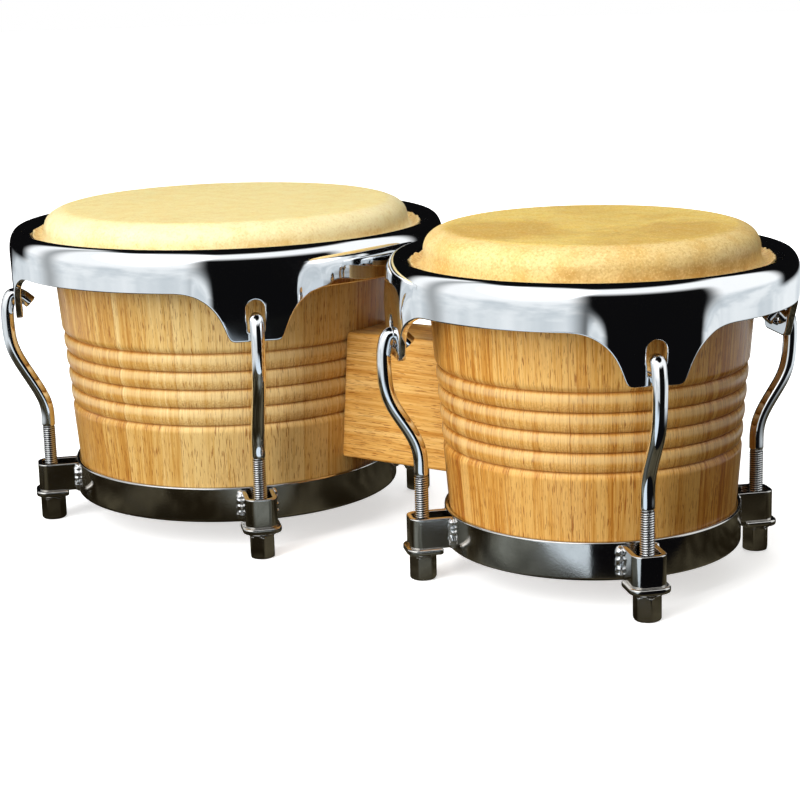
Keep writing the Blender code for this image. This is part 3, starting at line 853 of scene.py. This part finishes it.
def rod_body(drum):
    """Bent rod about its own axis: rolled thread, step, smooth shank and blunt hook."""
    ear = drum["rim"] - 1.6 - drum["rod"]
    out = ear + 5.1
    z = drum["drop"]
    bend = [(0.0, THREAD_TOP + 1.2), (0.0, 60.0), (0.0, 64.0), (0.035 * out, 70.0), (0.16 * out, 77.0),
            (0.5 * out, 89.5 + z * 0.5), (0.80 * out, 100.5 + z), (0.94 * out, 108.0 + z),
            (out, 117.0 + z), (out, 129.0 + z), (out - 0.9, 133.6 + z), (ear + 2.4, 137.4 + z),
            (ear - 0.6, 138.1 + z), (ear - 4.2, 136.7 + z), (ear - 8.4, 133.1 + z)]
    path = spline(bend, 110)
    angle = around(32)
    profile = []
    for h in np.arange(1.0, THREAD_TOP, THREAD_PITCH / 7):
        turn = (h / THREAD_PITCH - angle / TAU) % 1.0
        tooth = np.clip(1.25 * (1 - np.abs(2 * turn - 1)) - 0.1, 0, 1)
        fade = min(1.0, (h - 1.0) / 1.6, (THREAD_TOP - h) / 1.2)
        profile.append((THREAD_R - THREAD_DEPTH * (1 - tooth * (0.3 + 0.7 * fade)), h))
    profile += [(3.30, THREAD_TOP), (3.32, THREAD_TOP + 0.12),
                (3.62, THREAD_TOP + 0.35), (3.85, THREAD_TOP + 0.75)]
    rows = list(turned(profile, angle))
    tangent = np.gradient(path, axis=0)
    tangent /= np.linalg.norm(tangent, axis=1)[:, None]

    def loop(centre, t, radius):
        nu, nz = t[1], -t[0]
        return np.stack([centre[0] + radius * np.cos(angle) * nu, radius * np.sin(angle),
                         centre[1] + radius * np.cos(angle) * nz], axis=1)

    rows += [loop(p, t, ROD_R) for p, t in zip(path, tangent)]
    end, t = path[-1], tangent[-1]
    for go, radius in ((0.25, 3.84), (0.45, 3.68), (0.58, 3.45), (0.62, 3.1), (0.62, 1.2)):
        rows.append(loop(end + t * go, t, radius))
    rows.insert(0, rows[0] * [0.35, 0.35, 1.0])
    return lofted(rows)


def mark_thread(piece, axis):
    """Stores on each vertex how deep it lies in the thread, 0 at the crest and 1 at the root."""
    mesh = piece.data
    depth = [(THREAD_R - math.hypot(v.co.x / MM - axis[0], v.co.y / MM - axis[1])) / THREAD_DEPTH
             for v in mesh.vertices]
    layer = mesh.attributes.new("thread_root", "FLOAT", "POINT")
    layer.data.foreach_set("value", np.clip(depth, 0.0, 1.0))


def hexagon(radius, z0, z1, bore=None, chamfer=(1.9, 1.1)):
    """Hexagonal prism, corner radius given, with rounded chamfers; a ring if it has a bore."""
    a = around(96)
    flat = radius * math.cos(math.pi / 6)
    hexa = np.minimum(flat / np.cos((a % (math.pi / 3)) - math.pi / 6), radius * 0.985)
    stops = (0.0, 0.06, 0.15, 0.3, 0.5, 0.75, 1.0, 1.3, 1.6)

    def chamfered(f, start):
        rise = math.sqrt(1 - max(0.0, 1 - f) ** 2)
        return np.minimum(hexa, flat * start + (radius - flat * start) * rise)

    low, high = chamfer
    inner = bore if bore else flat * 0.3
    profile = [(inner + 0.6, z0)] + [(chamfered(f, 0.93), z0 + low * f) for f in stops]
    profile += [(hexa, (z0 + z1) / 2)] + [(chamfered(f, 0.96), z1 - high * f) for f in reversed(stops)]
    profile += [(inner + 0.6, z1)]
    if bore:
        profile += [(inner, z1 - 0.6), (inner, z0 + 0.6)]
    return grid(turned(profile, a), bool(bore), True, cap=not bore)


def ring_washer(inner, outer, z0, z1):
    t = (z1 - z0) * 0.42
    outline = rounded(rectangle(inner, z0, outer, z1), [0.2, t, t, 0.2], 5)
    return lathe(supported(outline, 0.3), 96)


def bracket_bodies(drum):
    """Bent strap round the rod and the bored flange under it."""
    start = math.sqrt(drum["ring"] ** 2 - STRAP_HALF ** 2) - drum["rod"] - 0.5
    line = rounded([(start, -STRAP_HALF), (STRAP_REACH, -STRAP_HALF), (STRAP_REACH, STRAP_HALF),
                    (start, STRAP_HALF)], [0, 4.3, 4.3, 0], 9, False)
    line = supported(line, 0.5, 3.0, False)
    t = np.gradient(line, axis=0)
    t /= np.linalg.norm(t, axis=1)[:, None]
    normal = np.stack([t[:, 1], -t[:, 0]], axis=1)
    h = STRAP_T / 2
    section = supported(rounded(rectangle(-h, STRAP_Z[0], h, STRAP_Z[1]), 0.75, 5), 0.35)
    rows = [np.stack([p[0] + section[:, 0] * n[0], p[1] + section[:, 0] * n[1], section[:, 1]], axis=1)
            for p, n in zip(line, normal)]
    plate = rounded(rectangle(-9.5, -11.0, 9.8, 11.0), [2.0, 6.5, 6.5, 2.0], 8)
    plate = resample(np.concatenate([plate, plate[:1]]), 121)[:-1]
    a = math.atan2(plate[0][1], plate[0][0]) + around(120)
    hole = np.stack([BORE_R * np.cos(a), BORE_R * np.sin(a)], axis=1)
    return [lofted(rows), extruded(plate, hole, *FLANGE_Z, 1.15)]


def weld_bodies(drum, seed):
    """Two lumpy weld beads where the strap's ends meet the ring."""
    out = []
    for side in (-1, 1):
        y = side * (STRAP_HALF + 1.7)
        x = math.sqrt(drum["ring"] ** 2 - y * y) - drum["rod"] + 0.3
        rows = []
        for f in np.linspace(0, 1, 44):
            z = STRAP_Z[0] - 0.6 + f * (STRAP_Z[1] - STRAP_Z[0] + 0.4)
            end = math.sqrt(max(0.02, 1 - abs(2 * f - 1) ** 6))
            ripple = 0.55 * wander(z * 0.33, seed, side) + 0.30 * wander(z * 0.9, seed + 4, side)
            sway = 0.35 * wander(z * 0.3, 4.0, seed)
            row = []
            for a in around(20):
                c, s = math.cos(a), math.sin(a)
                r = (WELD_R + ripple + 0.7 * wander(c * 1.1, s * 1.1 + seed, z * 0.5)) * end
                row.append((x + r * c + sway, y + r * s, z))
            rows.append(row)
        out.append(lofted(rows))
    return out


# ---- centre block and its fasteners

def block_body():
    """Block whose ends are hollowed to the shells, with softened corners."""
    left, right = DRUMS["hembra"], DRUMS["macho"]
    z0, z1 = BLOCK_Z
    h = BLOCK_HALF_Y
    loop = supported(rounded(rectangle(-h, z0, h, z1), 1.6, 5), 0.5, 3.0)

    def wall(drum, y, z):
        return math.sqrt((shell_radius(drum, z) + 0.4) ** 2 - y * y)

    rows = []
    for f in [0.0, 0.004, 0.015] + list(np.linspace(0.05, 0.95, 28)) + [0.985, 0.996, 1.0]:
        row = []
        pull = 0.6 * (1 - min(1.0, min(f, 1 - f) / 0.012))
        for y, z in loop:
            a = left["x"] + wall(left, y, z)
            b = right["x"] - wall(right, y, z)
            row.append((a + (b - a) * f, y * (1 - pull / h),
                        (z - BLOCK_MIDDLE) * (1 - pull / (z1 - BLOCK_MIDDLE)) + BLOCK_MIDDLE))
        rows.append(row)
    return lofted(rows)


def along_x(body, drum, z):
    """A body made about +Z laid along X from a drum's axis, towards the block."""
    return moved(body, drum["turn"], (0, 0, z), Matrix.Rotation(math.pi / 2, 3, "Y"))


def bolt_bodies(drum, z):
    """Hexagon head against the washer inside the shell, and the shank into the block."""
    under = shell_inner(drum, z) + SEAT_DEPTH - 2.0
    end = shell_radius(drum, z) + BOLT_REACH
    shank = rounded(rectangle(0.4, under - 1.0, BOLT_R, end), [0, 0, 0.8, 0], 4)
    head = hexagon(BOLT_HEAD_R, under - BOLT_HEAD_H, under, None, (1.4, 0.4))
    return [along_x(head, drum, z), along_x(lathe(supported(shank, 0.5), 48), drum, z)]


# ---- make the pieces

CHROME = metal_material("chrome", (0.86, 0.875, 0.89), (0.025, 0.07), 0.00012)
ROD_CHROME = metal_material("rod_chrome", (0.84, 0.85, 0.86), (0.04, 0.10), 0.0001, thread=True)
# painted shade: a darker, cloudier copy of the chrome for the ring, brackets, washers and nuts, standing for
# the dark reflections on them; its pits are the metal's own
SHADED_CHROME = metal_material("dark_chrome", (0.66, 0.64, 0.61), (0.05, 0.19), 0.0006, pits=0.35,
                             clouds=0.9)
STEEL = metal_material("steel", (0.52, 0.52, 0.51), (0.24, 0.42), 0.0002, pits=0.3)
WELD = metal_material("weld", (0.84, 0.84, 0.85), (0.16, 0.34), 0.0006, pits=0.8)
BRASS = metal_material("brass", (0.66, 0.46, 0.17), (0.2, 0.36), 0.0002, pits=0.2)
SHELL_WOOD = {
    "hembra": shell_material("hembra_wood", 0.3, 17, 1.0, (0.97, 0.92, 0.80)),
    "macho": shell_material("macho_wood", 0.7, 14, 1.8, (1.0, 0.79, 0.50)),
}
SKINS = {
    "hembra": skin_material("hembra_rawhide", DRUMS["hembra"],
                            ((0.87, 0.75, 0.36), (0.79, 0.62, 0.25)),
                            ((0.88, 0.78, 0.47), (0.80, 0.66, 0.34)), (0.72, 0.50, 0.18), 0.35,
                            (0.66, 0.46, 0.16), (0.95, 0.86, 0.52), 0.35),
    "macho": skin_material("macho_rawhide", DRUMS["macho"],
                           ((0.81, 0.625, 0.19), (0.73, 0.495, 0.10)),
                           ((0.82, 0.62, 0.28), (0.74, 0.48, 0.16)), (0.48, 0.245, 0.035), 0.40,
                           (0.54, 0.32, 0.08), (0.90, 0.72, 0.34), 0.55,
                           ((-30.0, -42.0, 40.0, 0.6), (52.0, 0.0, 48.0, 0.6), (62.0, -66.0, 44.0, 0.5),
                            (0.0, 20.0, 40.0, 0.2))),
}

# heights in metres at a head's top and hem; they go with the head's blend settings, which build reads only to
# bake the head in place
BLEND_TOP = 0.1835
BLEND_HEM = 0.1715


def make_drum(name, drum):
    """All the pieces of one drum."""
    x0 = drum["x"]
    crown = name + "_crown"

    def part(piece, node, bodies, mat, slot, body="base", sharp=40.0, blend=None):
        nodes = [f"{name}_{node}"] if node else []
        return build(f"{name}_{piece}", bodies, mat, nodes, body, x0, sharp, blend)

    shell = part("staved_shell", "shell", [shell_body(drum)], SHELL_WOOD[name], "shell_wood", sharp=35)
    cut(shell, shell_bores(drum))
    part("rolled_ring", "bottom_ring", [ring_body(drum)], SHADED_CHROME, "dark_chrome")
    part("hoop", "flesh_hoop", [hoop_body(drum)], STEEL, "steel", crown)
    part("pressed_rim", "rim", [rim_body(drum)], CHROME, "chrome", crown, 60)
    top = (x0 * MM, 0.0, BLEND_TOP)
    hem = (x0 * MM, 0.0, BLEND_HEM + drum["drop"] * MM)
    part("head", "skin", [skin_body(drum)], SKINS[name], "rawhide", sharp=70, blend=("base", crown, top, hem))
    rod = rod_body(drum)
    for i, lug in enumerate(LUG_ANGLES, 1):
        a = math.radians(lug)
        at = (drum["rod"] * math.cos(a), drum["rod"] * math.sin(a), 0.0)

        def placed(*bodies):
            return [moved(body, lug, at) for body in bodies]

        part(f"bracket_{i}", f"lug_bracket_{i}", placed(*bracket_bodies(drum)), SHADED_CHROME, "dark_chrome")
        part(f"weld_{i}", None, placed(*weld_bodies(drum, drum["seed"] + i)), WELD, "steel", sharp=80)
        piece = part(f"rod_{i}", f"tuning_rod_{i}", placed(rod), ROD_CHROME, "chrome", f"{name}_rod_{i}", 50)
        mark_thread(piece, at)
        part(f"flat_washer_{i}", f"washer_{i}", placed(ring_washer(BORE_R, WASHER_R, *WASHER_Z)),
             SHADED_CHROME, "dark_chrome")
        part(f"hex_nut_{i}", f"tuning_nut_{i}", placed(hexagon(NUT_R, 0.0, NUT_H, BORE_R)), SHADED_CHROME,
             "dark_chrome", f"{name}_nut_{i}", 20)
    for level, z in zip(("lower", "upper"), BOLT_Z):
        part(f"hex_bolt_{level}", f"block_bolt_{level}", bolt_bodies(drum, z), STEEL, "steel", sharp=25)
        seat = shell_inner(drum, z) + SEAT_DEPTH
        washer = ring_washer(4.2, BOLT_WASHER_R, seat - 1.8, seat - 0.2)
        part(f"bolt_ring_{level}", f"bolt_washer_{level}", [along_x(washer, drum, z)], STEEL, "steel")
        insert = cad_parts[f"{name}_block_insert_{level}"].data
        insert.materials.clear()
        insert.materials.append(BRASS)


for drum_name, drum in DRUMS.items():
    make_drum(drum_name, drum)

block = build("block", [block_body()], block_material(), ["centre_block"])
bores = []
for drum in DRUMS.values():
    for z in BOLT_Z:
        start = shell_radius(drum, z)
        bore = lofted(turned(((INSERT_BORE_R, start - 3.0), (INSERT_BORE_R, start + 20.0)), around(48)))
        bores.append(moved(along_x(bore, drum, z), 0.0, (drum["x"], 0.0, 0.0)))
cut(block, bores)


# ---- floor, light and camera

FLOOR_RADIUS = 9.0
FLOOR_Z = -0.0002
NEAR_FLOOR_RADIUS = 0.56
NEAR_FLOOR_Z = -0.004


def stage_disc(name, radius, z, mat, rings=24, seg=96):
    """Flat disc of the stage, with its rings closer together near the middle."""
    shares = (np.arange(rings, 0, -1) / rings) ** 2
    verts, faces = grid(turned([(radius * f, z) for f in shares], around(seg)), False, True)
    first, middle = len(verts) - seg, len(verts)
    faces += [[middle, first + k, first + (k + 1) % seg] for k in range(seg)]
    mesh = bpy.data.meshes.new(name)
    mesh.from_pydata(verts.tolist() + [(0.0, 0.0, z)], [], faces)
    mesh.materials.append(mat)
    obj = add_object(name, mesh)
    return obj


def floor_material():
    """Pale floor that glows with painted light, weaker close to the drums, so that it fades to plain white
    away from them.
    """
    m = Nodes("pale_floor")
    x, y, _ = m.xyz()
    radius = m.length(x, y)
    cloud = m.noise(m.coord, 3.0, 3.0, 0.5)
    colour = m.mix(m.step(cloud, 0.3, 0.7), (0.90, 0.90, 0.90), (0.87, 0.87, 0.87))
    glow = m.step(radius, 0.26, 0.70, (0.58, 1.0))
    return m.set(Base_Color=colour, Roughness=0.9, Emission_Color=WHITE, Emission_Strength=glow)


def mirror_floor_material():
    """Painted reflection of the floor close to the drums, which only polished metal sees: warm, dark and
    patchy.
    """
    m = Nodes("painted_floor_reflection")
    x, y, _ = m.xyz()
    radius = m.length(x, y)
    streak = m.noise(m.scaled(m.coord, (7.0, 12.0, 1.0)), 1.0, 5.0, 0.68, 0.6)
    glow = m.mix(m.step(streak, 0.40, 0.66), (0.016, 0.012, 0.006), (0.105, 0.093, 0.060))
    px, py = m.sub(x, 0.10), m.sub(y, -0.185)
    patch = m.mul(m.step(m.length(px, py), 0.05, 0.12, DOWN), m.step(streak, 0.36, 0.60, (0.25, 1.0)))
    glow = m.mix(patch, glow, (0.24, 0.26, 0.24))
    # painted reflection beyond the table's edge: a pale backdrop, then a dark screen, by direction from the
    # macho's axis
    ragged = m.centred(streak, 0.04)
    edge = m.add(m.sub(x, y), ragged)
    from_macho = m.azimuth(m.sub(x, DRUMS["macho"]["x"] * MM), y)
    lit = m.step(from_macho, 26.0, 28.0, DOWN)
    beyond = m.mix(lit, (0.004, 0.004, 0.005), (0.80, 0.93, 1.05))
    glow = m.mix(m.step(edge, 0.326, 0.334), glow, beyond)
    angle = m.azimuth(x, y)
    shaded = m.mul(m.step(angle, 14.0, 30.0), m.step(angle, 80.0, 100.0, DOWN))
    shaded = m.math("MAXIMUM", shaded, m.step(angle, -130.0, -108.0, DOWN))
    away = m.mix(shaded, (0.80, 0.86, 0.90), (0.006, 0.006, 0.006))
    glow = m.mix(m.step(radius, 0.36, 0.56), glow, away)
    return m.set(Base_Color=BLACK, Roughness=1.0, Emission_Color=glow,
                 Emission_Strength=1.0, Specular_IOR_Level=0.0)


floor = stage_disc("floor", FLOOR_RADIUS, FLOOR_Z, floor_material())
floor.visible_glossy = floor.visible_diffuse = False
# painted reflection: a disc below the floor that only glossy rays see
near_floor = stage_disc("near_floor", NEAR_FLOOR_RADIUS, NEAR_FLOOR_Z, mirror_floor_material())
near_floor.visible_camera = near_floor.visible_diffuse = False
near_floor.visible_shadow = near_floor.visible_transmission = False

# azimuth and elevation of the key light, in degrees
KEY_PLACE = (-6.0, 36.0)


def direction(azimuth_deg, elevation_deg):
    """Unit vector from azimuth (from -Y towards +X) and elevation."""
    a, e = math.radians(azimuth_deg), math.radians(elevation_deg)
    return Vector((math.sin(a) * math.cos(e), -math.cos(a) * math.cos(e), math.sin(e)))


class Sky(Nodes):
    """The same short calls on the world's nodes."""

    def __init__(self, world):
        world.use_nodes = True
        self.tree = world.node_tree
        self.coord = self.new("TexCoord", {}).outputs["Generated"]


world = bpy.data.worlds.new("studio")
bpy.context.scene.world = world
sky = Sky(world)
dx, dy, dz = sky.xyz()
azimuth = sky.azimuth(dx, dy)


def sector(start, end, soft):
    """1 inside a range of azimuths, with soft edges."""
    return sky.within(azimuth, start, end, soft)


cloud = sky.noise(sky.scaled(sky.coord, (1.0, 1.0, 2.4)), 2.6, 3.0, 0.55)
white = sky.mix(sky.step(cloud, 0.35, 0.70), (0.96, 1.0, 1.02), (0.66, 0.72, 0.76))
white = sky.mix(sky.step(dz, -0.05, 0.10), white, (1.12, 1.14, 1.15))
SCREEN_DARK = (0.004, 0.004, 0.0045)
glossy = sky.mix(sector(-74.0, -62.0, 7.0), white, (0.42, 0.44, 0.45))
screen = sky.mul(sector(22.0, 98.0, 7.0), sky.step(dz, 0.36, 0.60, DOWN))
behind = sky.math("MAXIMUM", sector(-200.0, -90.0, 6.0), sector(152.0, 200.0, 6.0))
behind = sky.mul(behind, sky.step(dz, -0.16, -0.08))
for mask in (screen, sector(-161.0, -114.0, 4.0), behind, sky.step(dz, 0.76, 0.86)):
    glossy = sky.mix(mask, glossy, SCREEN_DARK)
lobe = sky.new("VectorMath", {0: sky.coord, 1: direction(*KEY_PLACE)}, operation="DOT_PRODUCT")
shine = sky.step(lobe.outputs["Value"], 0.84, 1.0, (0.0, 3.0))
glossy = sky.mix(1.0, glossy, sky.mix(shine, BLACK, WHITE), "ADD")
ambient = sky.mix(sky.step(dx, -0.9, 0.7), (0.40, 0.40, 0.39), (0.36, 0.325, 0.25))
ambient = sky.mix(sky.step(dz, -0.35, 0.05, DOWN), ambient,
                  sky.mix(sky.step(dx, -0.9, 0.6), (0.20, 0.185, 0.16), (0.08, 0.07, 0.055)))
ambient = sky.mix(sky.step(dz, 0.2, 1.0), ambient, (0.40, 0.40, 0.40))
path = sky.new("LightPath", {})
seen = sky.mix(path.outputs["Is Glossy Ray"], ambient, glossy)
seen = sky.mix(path.outputs["Is Camera Ray"], seen, WHITE)
sky.put(sky.tree.nodes["Background"].inputs["Color"], seen)


def softbox(name, azimuth_deg, elevation_deg, distance, size, power):
    """Soft rectangular light that points at the drums and isn't itself mirrored."""
    light = bpy.data.lights.new(name, "AREA")
    light.shape = "RECTANGLE"
    light.size, light.size_y = size
    light.energy = power
    obj = add_object(name, light)
    away = direction(azimuth_deg, elevation_deg)
    obj.location = away * distance + Vector((0, 0, 0.1))
    obj.rotation_euler = away.to_track_quat("Z", "Y").to_euler()
    obj.visible_glossy = obj.visible_camera = False


softbox("key", *KEY_PLACE, 1.7, (0.9, 0.7), 13.0)
softbox("front", -12.0, 13.0, 1.7, (0.9, 0.6), 17.5)
softbox("top", 10.0, 78.0, 1.6, (1.1, 1.1), 15.0)
softbox("back", 205.0, 28.0, 1.7, (1.0, 0.8), 8.0)

CAMERA_AIM = Vector((0.00985, 0.0, 0.095))
CAMERA_DISTANCE = 1.0895
CAMERA_AZIMUTH = 34.0
CAMERA_ELEVATION = 12.3
CAMERA_ROLL = -1.5
camera_data = bpy.data.cameras.new("camera")
camera = add_object("camera", camera_data)
place = CAMERA_AIM + direction(CAMERA_AZIMUTH, CAMERA_ELEVATION) * CAMERA_DISTANCE
camera.matrix_world = (Matrix.Translation(place)
                       @ Matrix.Rotation(math.radians(CAMERA_AZIMUTH), 4, "Z")
                       @ Matrix.Rotation(math.radians(90.0 - CAMERA_ELEVATION), 4, "X")
                       @ Matrix.Rotation(math.radians(CAMERA_ROLL), 4, "Z"))
camera_data.lens = 85.5
camera_data.sensor_width = 36.0
camera_data.shift_x = -0.0014
camera_data.shift_y = -0.0359
bpy.context.scene.camera = camera
bpy.context.scene.view_settings.view_transform = "Standard"
